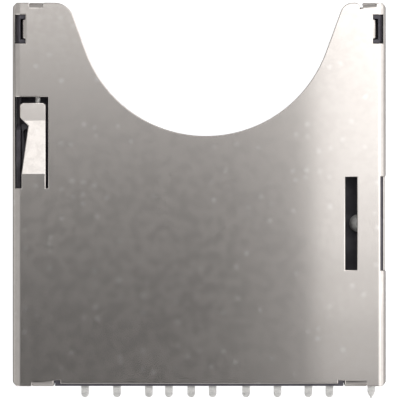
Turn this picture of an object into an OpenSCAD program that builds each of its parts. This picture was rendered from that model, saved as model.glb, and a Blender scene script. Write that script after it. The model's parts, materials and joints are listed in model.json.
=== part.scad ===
// Push-push socket for a full-size memory card, for soldering to a board.
// The card goes in along -Y, its contact side down. The board is the plane z = 0.
// X = 0 and Y = 0 are the middle of the shell in plan. All sizes are in millimetres.

/* [Card slot] */
// Width of the card
card_w = 24; // [22:0.1:26]
// Thickness of the card
card_t = 2.1; // [1.9:0.05:2.6]
// Side play of the card, left and right together
side_play = 0.3; // [0.2:0.05:0.6]
// Play of the card under the top plate
top_play = 0.1; // [0.1:0.05:0.3]

/* [Shell] */
// Length of the shell from front to rear
shell_l = 29.8; // [29:0.1:33]
// Thickness of the steel sheet
sheet = 0.2; // [0.15:0.01:0.25]
// Outer radius of every fold in the sheet
fold_r = 0.45; // [0.35:0.05:0.6]
// Height of the side walls' lower edge above the board
wall_foot = 0.35; // [0.2:0.05:0.6]
// Size of the cut at each corner of the sheet
corner_cut = 0.3; // [0.1:0.05:0.5]
// Width of each solder tab under the side walls
solder_tab_w = 1.5; // [0.8:0.1:2.5]
// Distance of the solder tabs from the middle
solder_tab_y = 11.2; // [9:0.1:13]
// Width of the lips folded down at the front
front_lip_w = 1.05; // [0.8:0.05:1.5]
// Distance of the left front lip from its side of the shell
front_lip_left_in = 1.3; // [0.6:0.05:1.6]
// Distance of the right front lip from its side of the shell
front_lip_right_in = 0.75; // [0.6:0.05:1.6]
// Width of the lips folded down at the rear
rear_lip_w = 1.7; // [1:0.1:2.2]
// Distance of each rear lip from its side of the shell
rear_lip_in = 1.5; // [1:0.1:2]
// Width of the relief cut between the right ear and its lip
ear_relief_w = 0.2; // [0.15:0.05:0.4]
// Width of the relief cut beside each rear lip
relief_w = 0.5; // [0.2:0.05:0.6]
// How far the plate's rear edge is set back between the rear lips
rear_set = 0.2; // [0.1:0.05:0.3]

/* [Thumb notch] */
// Radius of the half-round notch
notch_r = 9.9; // [8.5:0.1:10.3]
// Distance of the notch's centre behind the front edge
notch_back = 0.45; // [0:0.05:1]
// Distance of the notch's centre to the right of the card's middle
notch_over = 0.08; // [0:0.02:0.2]
// Lean of the straight sides that the half-round runs out into
notch_lean = 20; // [12:1:24]
// Rounding of the left ear beside the notch
ear_left_r = 1.5; // [1:0.1:1.8]
// Rounding of the right ear
ear_right_r = 1; // [0.6:0.1:1.2]
// Rounding of the right ear beside its relief cut
ear_outer_r = 0.4; // [0.2:0.05:0.5]
// Distance that the base stays back from the edge of the notch
ledge = 0.35; // [0.2:0.05:0.8]

/* [Windows] */
// Length of the window at each front corner
corner_window_l = 2.2; // [1.5:0.1:3]
// Width of that window
corner_window_w = 0.8; // [0.7:0.05:1]
// Distance of that window behind the front edge
corner_window_back = 0.95; // [0.8:0.05:1.5]
// Length of the flap folded down into that window
corner_flap_l = 1.5; // [1:0.1:1.5]
// How far the flap's face stands into that window
corner_flap_out = 0.3; // [0.1:0.05:0.35]
// Length of the clearance window over the switch bump
switch_window_l = 7.2; // [5:0.1:9]
// Width of that window
switch_window_w = 0.9; // [0.6:0.05:1.2]
// Distance of that window from the card slot's right edge
switch_window_in = 0.35; // [0.2:0.05:0.6]
// Length of the window in the right-hand fold
edge_window_l = 7.3; // [5:0.1:8]
// Depth of that window into the top plate, from the side
edge_window_in = 0.45; // [0.35:0.05:0.6]
// Depth of that window down the side wall, from the top
edge_window_drop = 1.6; // [1:0.1:2]

/* [Spring tongue] */
// Length of the tongue from its root to its tip
tongue_l = 6.6; // [6:0.1:7.5]
// Width of the tongue's head
tongue_w = 2.04; // [1.8:0.02:2.1]
// Width of the neck behind the head
neck_w = 1.38; // [1:0.01:1.6]
// Length of the head
head_l = 1.1; // [0.6:0.05:1.3]
// Rounding of the head's two corners
head_r = 0.25; // [0.1:0.05:0.4]
// Slit between the tongue and the plate on its right
slit = 0.18; // [0.12:0.02:0.25]
// Gap between the tongue's tip and the window
tip_gap = 0.47; // [0.3:0.01:0.8]
// How far the tongue's tip lies below the plate
tongue_drop = 0.27; // [0.2:0.01:0.35]
// How much of that drop falls to the flatter end of the tongue
tongue_end_drop = 0.025; // [0.01:0.005:0.06]

/* [Base] */
// Thickness of the floor under the card
floor_t = 0.5; // [0.45:0.05:0.8]
// Thickness of the wall behind the card
stop_wall = 1.4; // [1.2:0.1:2]
// Width of the bay on the left that holds the eject gear
left_bay = 2.6; // [2.5:0.05:3]
// Width of the rail on the right
right_bay = 1.7; // [1.6:0.05:2.2]
// Thickness of the low wall outside the eject gear
guard_t = 0.35; // [0.25:0.05:0.4]
// Height of that wall above the board
guard_h = 2.3; // [1.8:0.05:2.35]
// Height of the sill in front of that wall
sill_h = 1.5; // [1.2:0.05:1.7]
// Gap between the base and the shell's side walls
shell_gap = 0.05; // [0.02:0.01:0.08]
// Lead-in at the mouth of the slot
lead_in = 0.6; // [0.3:0.05:0.8]
// Diameter of the left locating peg
peg_left_d = 1.6; // [1.2:0.1:2]
// Diameter of the right locating peg
peg_right_d = 1; // [0.8:0.1:1.6]
// Length of the pegs under the base
peg_l = 0.9; // [0.6:0.1:1.6]
// Distance of the pegs from the sides of the shell
peg_in = 3.6; // [3.2:0.1:4]
// Distance of the pegs behind the front edge
peg_back = 7.4; // [6:0.1:9]
// Width of the catches that hold the shell
catch_w = 1.6; // [1:0.1:2]
// How far the catches stand out
catch_out = 0.2; // [0.1:0.02:0.24]
// Distance of the catches from the middle
catch_y = 8.6; // [8.2:0.1:9.5]

/* [Contacts] */
// Distance between neighbouring contacts
pitch = 2.5; // [2.4:0.05:2.6]
// Distance between the last two contacts
last_pitch = 1.65; // [1.5:0.05:2]
// Distance of the first contact from the slot's left edge
first_in = 2.75; // [2.6:0.05:3.1]
// Thickness of the contact strip
strip_t = 0.15; // [0.1:0.01:0.2]
// Width of the solder tails
tail_w = 0.6; // [0.4:0.05:0.65]
// How far the tails reach past the shell
tail_out = 1; // [0.7:0.01:1.5]
// Width of the contacts at the root
root_w = 0.7; // [0.6:0.05:0.9]
// Width of the contacts at the tip
tip_w = 0.5; // [0.4:0.05:0.6]
// Distance of a contact's crown in front of the rear wall
crown_y = 4.05; // [3.8:0.05:5]
// Height of the crown above the floor
crown_h = 0.45; // [0.3:0.05:0.7]
// Distance of the card switch's tail from the slot's left edge
detect_tail_in = 9.32; // [9.25:0.01:9.45]

/* [Write-protect switch] */
// Distance of the bump in front of the rear wall
bump_y = 11.25; // [10.5:0.05:12]
// Radius of the bump
bump_r = 0.68; // [0.5:0.02:0.7]
// How far the bump stands into the slot
bump_out = 0.9; // [0.6:0.02:0.95]
// Height of the switch strip
switch_h = 1.4; // [1.4:0.05:1.6]
// How far its tail reaches past the shell
switch_tail_out = 1.05; // [0.9:0.05:1.6]

/* [Eject gear] */
// Travel of the slider to its inner stop
travel = 4.5; // [4:0.1:4.7]
// Travel at which the slider locks
lock = 4; // [3.5:0.1:4.2]
// Length of the slider
slider_l = 14.1; // [13.5:0.1:14.5]
// Length of the slider's cam block
cam_l = 7.1; // [6.8:0.1:7.5]
// Gap between the slider's arm and the first contact
arm_gap = 0.55; // [0.4:0.05:0.8]
// Thickness of the arm, front to rear, at its tip
arm_t = 2; // [1.5:0.1:2.4]
// Width of the slider's rib and of its keel
rib_w = 0.5; // [0.4:0.05:0.6]
// Depth of the keel
keel_h = 0.3; // [0.2:0.02:0.32]
// Diameter of the cam pin's wire
pin_d = 0.4; // [0.3:0.02:0.4]
// Distance between the cam pin's two ends
pin_l = 9; // [8.8:0.1:9.4]
// Half the width of the heart-shaped track
heart_w = 0.62; // [0.5:0.01:0.64]
// Depth of the track
track_h = 0.5; // [0.3:0.05:0.6]
// Outer diameter of the spring
spring_d = 1.3; // [1.1:0.05:1.4]
// Diameter of the spring's wire
spring_wire = 0.18; // [0.14:0.01:0.2]
// Turns of the spring
spring_turns = 16; // [12:1:20]

/* [Clearances] */
// Running gap of the slider
run_gap = 0.05; // [0.03:0.01:0.08]
// Gap around the cam pin
pin_gap = 0.03; // [0.02:0.01:0.05]
// Gap around a strip that sits in a groove
seat_gap = 0.03; // [0.02:0.01:0.06]
// Gap around the catches in their windows
catch_gap = 0.1; // [0.06:0.02:0.16]

/* [Hidden] */
$fn = 48;
past = 1; // how far a cutter runs past what it cuts

// Order of the signal contacts from left to right
CONTACTS = [9, 1, 2, 3, 4, 5, 6, 7, 8];
// How far some crowns lie forward of the others
first_lead = 1;
power_lead = 0.8;
crown_set = [first_lead, 0, 0, power_lead, power_lead, 0, power_lead, 0, 0];
// How far some tails are set over
ground_over = 0.82;
clock_over = 0.12;
last_ground_over = 0.08;
tail_set = [0, 0, 0, ground_over, 0, clock_over, last_ground_over, 0, 0];
// Place of the first ground contact in the row
ground = 3;

steel = "#c4c3bf";
black = "#2b292d";
gold = "#d8b45a";
wire = "#d9d9d6";

// Plan of the slot and the shell
slot_w = card_w + side_play;
shell_w = slot_w + left_bay + right_bay + 2 * sheet;
side = shell_w / 2;
front = shell_l / 2;
inside = side - sheet;
base_side = inside - shell_gap;
base_end = front - sheet - shell_gap;
slot_left = left_bay - inside;
slot_right = slot_left + slot_w;
slot_mid = (slot_left + slot_right) / 2;
slot_rear = stop_wall - base_end;

// Heights
plate_z = floor_t + card_t + top_play;
shell_h = plate_z + sheet;
root_z = floor_t - strip_t / 2;

// The slider runs between the guard wall and the slot, and stops short of the rear wall
bay_floor = floor_t - 2 * run_gap;
slider_z = bay_floor + run_gap;
slider_left = guard_t + run_gap - base_side;
slider_right = slot_left - 2 * run_gap;
end_gap = 0.55; // room left behind the slider at its inner stop
slider_rear = slot_rear + travel + end_gap;
slider_front = slider_rear + slider_l;
cam_rear = slider_front - cam_l;
rib_left = slider_right - rib_w;
cam_bevel = 0.45; // bevel on the front edge of the cam block and of the wall outside it
keel_in = 0.3; // the keel stops short of the slider's front
keel_w = rib_w - 2 * run_gap;
keel_x = (rib_left + slider_right) / 2;

// The cam pin lies between the cam block and the tongue
pin_z = plate_z - tongue_drop - pin_gap - pin_d / 2;
cam_top = pin_z - pin_d / 2 - pin_gap;
track_z = cam_top - track_h;
track_w = pin_d + 4 * pin_gap;
heart_x = (slider_left + slider_right) / 2;
pin_tip_in = 5.6; // from the slider's front to the pin's tip
pivot_over = 0.33; // from the middle of the track to the pivot
pivot_in = 1.4; // from the front block's rear face to the pivot
pin_tip = [heart_x, slider_front - pin_tip_in];
pin_pivot = pin_tip + [pivot_over, pin_l];
pin_socket_d = pin_d + pin_gap;
pin_root_l = 1.2;
pin_bend = 0.35;
block_rear = pin_pivot[1] - pivot_in;

// Swing of the pin that carries its tip across half the heart
pin_lean = atan2(pin_pivot[0] - pin_tip[0], pin_l);
pin_reach = norm(pin_pivot - pin_tip);
pin_swing = asin((pin_pivot[0] - pin_tip[0] + heart_w) / pin_reach) - pin_lean;
heart_end = pin_pivot - pin_reach * [sin(pin_lean + pin_swing), cos(pin_lean + pin_swing)];

// The spring sits between the guard wall and the rib
spring_x = (guard_t - base_side + rib_left) / 2;
spring_z = slider_z + spring_d / 2;
post_gap = 0.17;
post_r = spring_d / 2 - spring_wire - post_gap;
base_post_l = 2;
slider_post_l = 1.2;

// The tongue lies over the cam pin
tongue_off = 0.22; // from the card slot to the tongue
tongue_root_in = 5.4; // from the slider's front to the tongue's root
tongue_right = slot_left - tongue_off;
tongue_root = slider_front - tongue_root_in;
tongue_tip = tongue_root + tongue_l;
tongue_bend = 1.1; // from the root to the first bend
tongue_end_l = 1.35; // from the second bend to the tip
root_spread = 0.52; // how much wider the root is than the neck
tongue_window_left = -inside;

// Write-protect switch: a strip on edge in a pocket of the right rail
pocket_inner = 0.4; // wall between the pocket and the slot
pocket_outer = 0.3; // wall between the pocket and the shell
pocket_left = slot_right + pocket_inner;
pocket_right = base_side - pocket_outer;
pocket_mid = (pocket_left + pocket_right) / 2;
bump_mid = slot_rear + bump_y;
switch_lift = 0.15; // gap between the strip and the floor
switch_z = floor_t + switch_lift;
crest_in = 0.1; // the strip stands this far into the slot where it carries the bump
crest_x = slot_right - crest_in;
crest_l = 2; // length of that stretch
ramp_l = 5; // length of the slope behind it
arm_l = 3.4; // length of the free arm in front of it
open_gap = 0.12; // gap of the open switch, strip to shell
mouth_l = 2; // opening of the pocket towards the shell
pocket_spare = 1; // room in front of the free arm
pocket_front = bump_mid + crest_l / 2 + arm_l + pocket_spare;

// Places along a contact strip, measured from the wall behind the card
heel_out = 0.3; // from the base to the tail's upper bend
heel_l = 0.25; // length of the step down to the board
root_l = 1.05; // length of the root in front of the rear wall
tail_heel = -base_end - heel_out;
tail_foot = tail_heel - heel_l;
root_end = slot_rear + root_l;
set_over = 0.2; // the tails are set over within the rear wall, this far from its faces
crown_tip = 0.9; // from the crown to the tip
crown_tip_h = 0.1; // height of the tip above the floor
bend_r = 0.2; // radius of the bends

// Strip outlines

// Unit vector from one point to another, and the vector to its left
function toward(a, b) = (b - a) / norm(b - a);
function left_of(v) = [-v[1], v[0]];

// Point of a path moved sideways, with the two neighbouring runs kept parallel
function moved(p, i, d) =
  i == 0 ? p[0] + d * left_of(toward(p[0], p[1])) :
  i == len(p) - 1 ? p[i] + d * left_of(toward(p[i - 1], p[i])) :
  let (a = left_of(toward(p[i - 1], p[i])), b = left_of(toward(p[i], p[i + 1])))
    p[i] + d * (a + b) / (1 + a * b);

// Closed outline of a strip of even thickness along a path
function strip(p, t) = concat(
  [for (i = [0 : len(p) - 1]) moved(p, i, t / 2)],
  [for (i = [len(p) - 1 : -1 : 0]) moved(p, i, -t / 2)]
);

// Path with each inner corner replaced by an arc of the given radius
function bent(p, r, steps = 4) = concat(
  [p[0]],
  [for (i = [1 : len(p) - 2])
    let (u = toward(p[i - 1], p[i]), v = toward(p[i], p[i + 1]),
         turn = acos(u * v), hand = sign(u[0] * v[1] - u[1] * v[0]),
         centre = p[i] - r * tan(turn / 2) * u + hand * r * left_of(u))
      for (k = [0 : steps])
        let (a = turn * k / steps)
          centre + r * (sin(a) * u - hand * cos(a) * left_of(u))],
  [p[len(p) - 1]]
);

// Shell

// Section across the shell: flat top, rounded folds, straight sides
module folded(half_w, top, r) {
  translate([-half_w, 0])
    square([2 * half_w, top - r]);
  translate([r - half_w, 0])
    square([2 * (half_w - r), top]);
  for (s = [-1, 1])
    translate([s * (half_w - r), top - r])
      circle(r);
}

module folded_sheet(half_w)
  difference() {
    folded(half_w, shell_h, fold_r);
    translate([0, -past])
      folded(half_w - sheet, plate_z + past, fold_r - sheet);
  }

// Plan of the thumb notch, grown all round by the given amount
module notch(grow) {
  centre = [slot_mid + notch_over, front - notch_back];
  translate(centre)
    circle(notch_r + grow, $fn = 96);
  notch_side(centre, -1, ear_left_r, grow);
  notch_side(centre, 1, ear_right_r, grow);
}

// One straight side of the notch, and the rounded ear that it runs into
module notch_side(centre, s, ear_r, grow) {
  out = [s * cos(notch_lean), -sin(notch_lean)];
  ear_y = front - ear_r;
  ear = [
    centre[0] + s * (notch_r + ear_r + sin(notch_lean) * (ear_y - centre[1])) / cos(notch_lean),
    ear_y
  ];
  difference() {
    polygon([
      centre,
      centre + (notch_r + grow) * out,
      ear - (ear_r - grow) * out,
      ear,
      [ear[0], front + past],
      [centre[0], front + past]
    ]);
    translate(ear)
      circle(ear_r - grow);
  }
}

// Box given by its lowest corner and its highest corner
module box(low, high)
  translate(low)
    cube(high - low);

// Section of a lip folded down from the plate to a height
lip_flat = 0.1; // flat run of the plate that belongs to a lip
lip_back = fold_r + lip_flat;
lip_drop = 0.9; // how far a lip hangs below the plate
lip_foot = plate_z - lip_drop;
lip_clear = 0.1; // the rear lips stop this far above the tails
rear_lip_foot = floor_t + lip_clear;
module lip_section(foot)
  intersection() {
    folded_sheet(lip_back);
    translate([-lip_flat, foot])
      square([lip_flat + lip_back, shell_h]);
  }

// Lip along the front edge, from x0 to x1
module front_lip(x0, x1, foot)
  translate([x0, front - lip_back, 0])
    rotate([90, 0, 90])
      linear_extrude(x1 - x0)
        lip_section(foot);

// Room for a lip in the plate
module front_lip_room(x0, x1)
  box([x0, front - lip_back, plate_z - past], [x1, front + past, shell_h + past]);

// Relief cut from the bend line at the right front lip, with the ear rounded beside it
module ear_relief(x1) {
  x0 = x1 - ear_relief_w;
  translate([0, 0, plate_z - past])
    linear_extrude(sheet + 2 * past) {
      translate([x0, front - fold_r])
        square([ear_relief_w, fold_r + past]);
      difference() {
        translate([x0 - ear_outer_r, front - ear_outer_r])
          square([ear_outer_r, ear_outer_r + past]);
        translate([x0 - ear_outer_r, front - ear_outer_r])
          circle(ear_outer_r);
      }
    }
}

// Relief cut from the bend line on the inner side of a rear lip
module rear_relief(x1)
  box([x1 - relief_w, front - fold_r, plate_z - past], [x1, front + past, shell_h + past]);

// What sets the plate's rear edge back between the relief cuts
module rear_cut() {
  half = side - rear_lip[1] - relief_w / 2;
  box([-half, -front - past, plate_z - past], [half, rear_set - front, shell_h + past]);
}

// Where the front lips begin and end, left and right
front_lips = [
  [front_lip_left_in - side, front_lip_left_in + front_lip_w - side],
  [side - front_lip_right_in - front_lip_w, side - front_lip_right_in]
];
rear_lip = [rear_lip_in, rear_lip_in + rear_lip_w];

// Runs of the side walls that stop short of the board, between the solder tabs
tab_ends = [solder_tab_y - solder_tab_w / 2, solder_tab_y + solder_tab_w / 2];
raised_runs = [
  [-front - past, -tab_ends[1]],
  [-tab_ends[0], tab_ends[0]],
  [tab_ends[1], front + past]
];

module tongue_plan() {
  root_left = neck_w + root_spread;
  round_y = tongue_tip - head_r;
  polygon([
    [tongue_right, tongue_root - sheet],
    [tongue_right, round_y],
    [tongue_right - tongue_w, round_y],
    [tongue_right - tongue_w, tongue_tip - head_l],
    [tongue_right - neck_w, tongue_tip - head_l - (tongue_w - neck_w)],
    [tongue_right - root_left, tongue_root + tongue_bend],
    [tongue_right - root_left, tongue_root - sheet]
  ]);
  translate([tongue_right - tongue_w + head_r, round_y - head_r])
    square([tongue_w - 2 * head_r, 2 * head_r]);
  for (x = [tongue_right - tongue_w + head_r, tongue_right - head_r])
    translate([x, round_y])
      circle(head_r);
}

module tongue()
  intersection() {
    linear_extrude(shell_h + past)
      tongue_plan();
    translate([tongue_right - tongue_w - past, 0, 0])
      rotate([90, 0, 90])
        linear_extrude(tongue_w + 2 * past)
          polygon(strip(bent([
            [tongue_root - past, shell_h - sheet / 2],
            [tongue_root + tongue_bend, shell_h - sheet / 2],
            [tongue_tip - tongue_end_l, shell_h - sheet / 2 - tongue_drop + tongue_end_drop],
            [tongue_tip, shell_h - sheet / 2 - tongue_drop]
          ], 2 * fold_r), sheet));
  }

// Window at the right front corner, with a flap folded down from its inner side
flap_face = inside - corner_window_w + corner_flap_out;
flap_y = front - corner_window_back - corner_window_l / 2;

module corner_window_cut() {
  box([inside - corner_window_w, flap_y - corner_window_l / 2, plate_z - past],
    [inside, flap_y + corner_window_l / 2, shell_h + past]);
  box([flap_face - lip_back, flap_y - corner_flap_l / 2, plate_z - past],
    [inside, flap_y + corner_flap_l / 2, shell_h + past]);
}

module corner_flap()
  translate([flap_face - lip_back, flap_y + corner_flap_l / 2, 0])
    rotate([90, 0, 0])
      linear_extrude(corner_flap_l)
        lip_section(lip_foot);

window_back = 0.25; // the windows by the switch lie this far behind the bump
module shell_windows() {
  for (s = [0, 1])
    mirror([s, 0, 0])
      corner_window_cut();
  box([tongue_window_left, tongue_root, plate_z - past],
    [tongue_right + slit, tongue_tip + tip_gap, shell_h + past]);
  translate([slot_right - switch_window_in, bump_mid - window_back, 0])
    box([-switch_window_w, -switch_window_l / 2, plate_z - past],
      [0, switch_window_l / 2, shell_h + past]);
  translate([side, bump_mid - window_back, 0])
    box([-edge_window_in, -edge_window_l / 2, shell_h - edge_window_drop],
      [past, edge_window_l / 2, shell_h + past]);
}

catch_low = 0.85; // lower edge of the catches
catch_high = 1.45; // upper edge of the catches
catch_flat = 0.2; // height of the catches' outer face
module catch_windows()
  for (s = [-1, 1], e = [-1, 1])
    translate([s * side, e * catch_y, 0])
      box([-sheet - past, -catch_w / 2 - catch_gap, catch_low - catch_gap],
        [sheet + past, catch_w / 2 + catch_gap, catch_high + catch_gap]);

module cover_shell()
  color(steel) {
    difference() {
      rotate([90, 0, 0])
        linear_extrude(shell_l, center = true)
          folded_sheet(side);
      linear_extrude(shell_h + past)
        notch(0);
      shell_windows();
      catch_windows();
      for (run = raised_runs)
        box([-side - past, run[0], -past], [side + past, run[1], wall_foot]);
      // Corners cut across
      for (sx = [-1, 1], sy = [-1, 1])
        translate([sx * side, sy * front, shell_h / 2])
          rotate(45)
            cube([corner_cut * sqrt(2), corner_cut * sqrt(2), shell_h + past], center = true);
      for (lip = front_lips)
        front_lip_room(lip[0], lip[1]);
      ear_relief(front_lips[1][0]);
      rear_cut();
      for (s = [0, 1])
        mirror([s, 0, 0])
          mirror([0, 1, 0]) {
            front_lip_room(side - rear_lip[1], side - rear_lip[0]);
            rear_relief(side - rear_lip[1]);
          }
    }
    for (lip = front_lips)
      front_lip(lip[0], lip[1], lip_foot);
    for (s = [0, 1])
      mirror([s, 0, 0])
        mirror([0, 1, 0])
          front_lip(side - rear_lip[1], side - rear_lip[0], rear_lip_foot);
    for (s = [0, 1])
      mirror([s, 0, 0])
        corner_flap();
    tongue();
  }

// Contacts

function contact_x(i) =
  slot_left + first_in + (i < len(CONTACTS) - 1 ? i * pitch : (i - 1) * pitch + last_pitch);

// Plan of a tail, its set-over and its root, as far as the given end
module tail_plan(x, tail_x, w, out, grow) {
  set_rear = -base_end + set_over;
  set_front = slot_rear - set_over;
  tip_y = -front - out + tail_w / 2;
  translate([tail_x, tip_y])
    circle(tail_w / 2 + grow);
  translate([tail_x - tail_w / 2 - grow, tip_y])
    square([tail_w + 2 * grow, set_rear - tip_y]);
  polygon([
    [tail_x - tail_w / 2 - grow, set_rear],
    [tail_x + tail_w / 2 + grow, set_rear],
    [x + w / 2 + grow, set_front],
    [x - w / 2 - grow, set_front]
  ]);
  translate([x - w / 2 - grow, set_front])
    square([w + 2 * grow, root_end - set_front + grow]);
}

function crown_place(i) = slot_rear + crown_y + crown_set[i];

module contact_plan(i, grow) {
  x = contact_x(i);
  tail_plan(x, x + tail_set[i], root_w, tail_out, grow);
  polygon([
    [x - root_w / 2, root_end],
    [x + root_w / 2, root_end],
    [x + tip_w / 2, crown_place(i) + crown_tip],
    [x - tip_w / 2, crown_place(i) + crown_tip]
  ]);
}

// Heights along a strip from its tail to its root, then on through the points given
function strip_path(out, beam) = concat(
  [[-front - out, strip_t / 2], [tail_foot, strip_t / 2], [tail_heel, root_z], [root_end, root_z]],
  beam
);

// Strip seen from the side, as wide as the slot
module strip_side(path)
  translate([-side - past, 0, 0])
    rotate([90, 0, 90])
      linear_extrude(shell_w + 2 * past)
        polygon(strip(bent(path, bend_r), strip_t));

module contact(i)
  color(gold)
    intersection() {
      strip_side(strip_path(tail_out, [
        [crown_place(i), floor_t + crown_h],
        [crown_place(i) + crown_tip, floor_t + crown_tip_h]
      ]));
      translate([0, 0, -past])
        linear_extrude(shell_h + past)
          contact_plan(i, 0);
    }

// Card switch: a short strip whose ear closes onto the contact on its right
detect_beside = 1.25; // from that contact to the switch's beam
detect_w = 0.5;
detect_x = contact_x(ground) - detect_beside;
detect_crown_y = 2.15; // from the rear wall to the beam's crown
detect_crown = slot_rear + detect_crown_y;
detect_crown_h = 0.65;
detect_tip_l = 0.7; // from the crown to the tip
detect_tip = detect_crown + detect_tip_l;
detect_tip_h = 0.48;
ear_l = 0.35;
ear_over = 0.2; // how far the ear reaches past that contact's middle
detect_ear_x = contact_x(ground) + ear_over;

module detect_plan(grow) {
  tail_plan(detect_x, slot_left + detect_tail_in, detect_w, tail_out, grow);
  translate([detect_x - detect_w / 2, root_end])
    square([detect_w, detect_tip - root_end]);
  translate([detect_x - detect_w / 2, detect_tip - ear_l])
    square([detect_ear_x - detect_x + detect_w / 2, ear_l]);
}

module card_detect_spring()
  color(gold)
    intersection() {
      strip_side(strip_path(tail_out, [
        [detect_crown, floor_t + detect_crown_h],
        [detect_tip, floor_t + detect_tip_h]
      ]));
      translate([0, 0, -past])
        linear_extrude(shell_h + past)
          detect_plan(0);
    }

// Write-protect switch: strip on edge with a domed bump, and a flat pointed tail
switch_end_in = 0.4; // from the base's rear face to the strip's end, in a slit of the rear wall
switch_end = -base_end + switch_end_in;
switch_path = [
  [pocket_mid, switch_end],
  [pocket_mid, bump_mid - crest_l / 2 - ramp_l],
  [crest_x, bump_mid - crest_l / 2],
  [crest_x, bump_mid + crest_l / 2],
  [inside - open_gap - strip_t, bump_mid + crest_l / 2 + arm_l]
];
switch_root_l = 0.9; // how far the tail reaches in front of the rear wall
switch_root = slot_rear + switch_root_l;
switch_point = 0.1; // width of the tail's point

module switch_tail_plan(grow) {
  neck = -front - switch_tail_out + tail_w;
  polygon([
    [pocket_mid - tail_w / 2 - grow, neck],
    [pocket_mid - switch_point / 2, neck - tail_w],
    [pocket_mid + switch_point / 2, neck - tail_w],
    [pocket_mid + tail_w / 2 + grow, neck],
    [pocket_mid + tail_w / 2 + grow, switch_root + grow],
    [pocket_mid - tail_w / 2 - grow, switch_root + grow]
  ]);
}

module write_protect_spring()
  color(gold) {
    translate([0, 0, switch_z])
      linear_extrude(switch_h)
        polygon(strip(bent(switch_path, bend_r), strip_t));
    // Bump pressed out of the strip towards the card
    intersection() {
      translate([slot_right - bump_out + bump_r, bump_mid, switch_z + switch_h / 2])
        sphere(bump_r);
      box([slot_right - bump_out - past, bump_mid - bump_r, switch_z],
        [crest_x, bump_mid + bump_r, switch_z + switch_h]);
    }
    // Web from the strip down to the tail
    box([pocket_mid - strip_t / 2, slot_rear, root_z],
      [pocket_mid + strip_t / 2, switch_root, switch_z + strip_t]);
    intersection() {
      strip_side(strip_path(switch_tail_out, []));
      translate([0, 0, -past])
        linear_extrude(shell_h + past)
          switch_tail_plan(0);
    }
  }

// Base

// Grooves and holes for the contact strips
module contact_room() {
  translate([0, 0, floor_t - strip_t]) {
    linear_extrude(strip_t) {
      for (i = [0 : len(CONTACTS) - 1])
        contact_plan(i, seat_gap);
      detect_plan(seat_gap);
      switch_tail_plan(seat_gap);
    }
  }
  // Holes in the floor that the beams are pressed into
  spare = 0.15; // room around a beam
  for (i = [0 : len(CONTACTS) - 1])
    box([contact_x(i) - root_w / 2 - spare, root_end + spare, -past],
      [contact_x(i) + root_w / 2 + spare, crown_place(i) + crown_tip + 2 * spare, floor_t + past / 2]);
  box([detect_x - detect_w / 2 - spare, root_end + spare, -past],
    [detect_x + detect_w / 2 + spare, detect_tip + 2 * spare, floor_t + past / 2]);
}

// Pocket of the write-protect switch, with its opening to the slot and to the shell wall
module switch_room() {
  slit_w = strip_t + 2 * seat_gap;
  sill_over = 1.9;
  sill = crest_l / 2 + sill_over; // the opening reaches this far in front of the bump
  ramp_sill = crest_l / 2 + ramp_l * 0.66; // and this far behind it
  box([pocket_left, slot_rear, floor_t], [pocket_right, pocket_front, plate_z + past]);
  box([pocket_mid - slit_w / 2, switch_end - seat_gap, floor_t],
    [pocket_mid + slit_w / 2, slot_rear + past, plate_z + past]);
  box([slot_right - past, bump_mid - ramp_sill, floor_t],
    [pocket_mid, bump_mid + sill, plate_z + past]);
  box([pocket_mid, pocket_front - mouth_l, floor_t], [side, pocket_front, plate_z + past]);
}

// Groove for the cam pin and the socket that it turns in
module pin_room() {
  spread = (pin_pivot[1] - block_rear) * tan(pin_lean + pin_swing);
  translate([pin_pivot[0], pin_pivot[1], pin_z - pin_root_l])
    cylinder(d = pin_socket_d, h = plate_z);
  translate([pin_pivot[0], pin_pivot[1], pin_z - pin_bend])
    cylinder(r = pin_bend + run_gap, h = plate_z);
  box([pin_pivot[0] - spread - pin_d / 2 - run_gap, block_rear - past, cam_top],
    [pin_pivot[0] + pin_d / 2 + run_gap, pin_pivot[1], plate_z + past]);
}

// What is cut off the wall outside the eject gear: its top, and the bevelled end over the sill
guard_end = slider_front - cam_bevel;
module guard_room() {
  box([-base_side - past, slot_rear, guard_h], [slot_left, block_rear, plate_z + past]);
  box([-base_side - past, guard_end, sill_h], [slot_left, block_rear, plate_z + past]);
  translate([-base_side - past, guard_end, guard_h])
    rotate([45, 0, 0])
      translate([0, -cam_bevel / sqrt(2), -cam_bevel / sqrt(2)])
        cube([guard_t + past, cam_bevel * sqrt(2), cam_bevel * sqrt(2)]);
}

// Channel of the slider and the groove of its keel
module slider_room() {
  box([guard_t - base_side, slot_rear, bay_floor], [slot_left, block_rear, plate_z + past]);
  box([keel_x - keel_w / 2 - pin_gap, slot_rear, slider_z - keel_h - pin_gap],
    [keel_x + keel_w / 2 + pin_gap, slider_front - keel_in + pin_gap, plate_z]);
}

// Bevels under the folds of the shell, and pockets for the two flaps
module fold_room() {
  bevel = (fold_r - sheet) * sqrt(2);
  for (s = [-1, 1]) {
    translate([s * base_side, 0, plate_z])
      rotate([0, 45, 0])
        cube([bevel, shell_l, bevel], center = true);
    translate([0, s * base_end, plate_z])
      rotate([45, 0, 0])
        cube([shell_w, bevel, bevel], center = true);
  }
  for (s = [0, 1])
    mirror([s, 0, 0])
      box([flap_face - fold_r - run_gap, flap_y - corner_flap_l / 2 - run_gap, lip_foot - run_gap],
        [flap_face + 2 * run_gap, flap_y + corner_flap_l / 2 + run_gap, plate_z + past]);
}

module catches()
  for (s = [0, 1], e = [-1, 1])
    mirror([s, 0, 0])
      translate([base_side, e * catch_y + catch_w / 2, 0])
        rotate([90, 0, 0])
          linear_extrude(catch_w)
            polygon([
              [-guard_t / 2, catch_low],
              [catch_out, catch_low],
              [catch_out, catch_low + catch_flat],
              [0, catch_high],
              [-guard_t / 2, catch_high]
            ]);

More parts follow.
